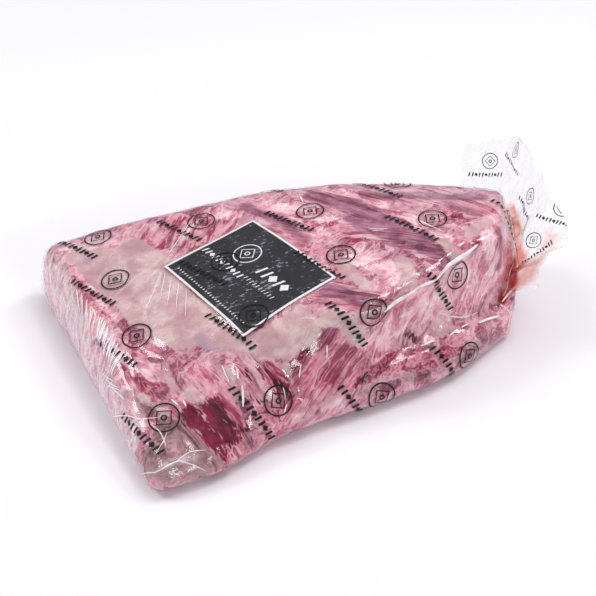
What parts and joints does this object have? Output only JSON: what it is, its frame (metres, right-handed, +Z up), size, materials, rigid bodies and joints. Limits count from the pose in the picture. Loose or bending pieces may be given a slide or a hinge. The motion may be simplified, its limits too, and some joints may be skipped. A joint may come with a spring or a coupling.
{
  "type": "raw beef chuck short ribs in a sealed bag",
  "caption": "Tapered block of marbled raw beef sealed in clear shrink film, flat underneath, with a dark label card on its top and the bag's loose wavy tail at the narrow end.",
  "frame": {"origin": "middle of the part's box at the level of the flat underside", "axes": "+X along the block from the broad low end to the narrow high end, +Y towards the plain back side, +Z up"},
  "size_m": [0.366, 0.249, 0.1096],
  "materials": {
    "raw_beef": "wet marbled raw beef in pinks and dark reds under a tight clear film",
    "label_card": "charcoal printed card with a thin white edge",
    "clear_film": "glossy clear shrink film, wrinkled, with a small repeated black print"
  },
  "bodies": {
    "root": {"sealed_meat": "raw_beef", "label_card": "label_card", "bag_tail": "clear_film"}
  },
  "joints": []
}
